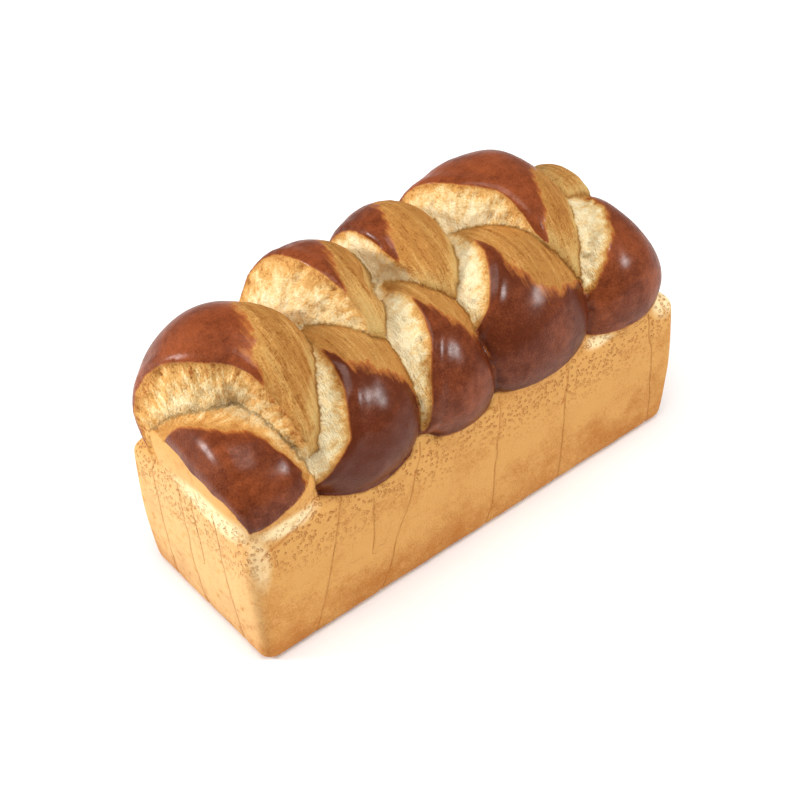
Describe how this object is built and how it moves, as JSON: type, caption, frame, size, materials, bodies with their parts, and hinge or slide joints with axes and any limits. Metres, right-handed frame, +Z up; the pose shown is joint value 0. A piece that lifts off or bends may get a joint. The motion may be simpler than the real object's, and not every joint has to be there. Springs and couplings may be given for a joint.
{
  "type": "braided loaf",
  "caption": "Tin-baked brioche loaf: straight golden walls below, a tall braid of crossing strands with glossy dark caps above.",
  "frame": {"origin": "bottom centre of the loaf's bounding box", "axes": "+X along the loaf, +Z up from the base, -Y towards the long wall with the narrower row of lobes"},
  "size_m": [0.2568, 0.1092, 0.148],
  "materials": {
    "crust": "baked crust, matte golden walls with glossy egg-washed caps"
  },
  "bodies": {
    "root": {"loaf": "crust"}
  },
  "joints": []
}
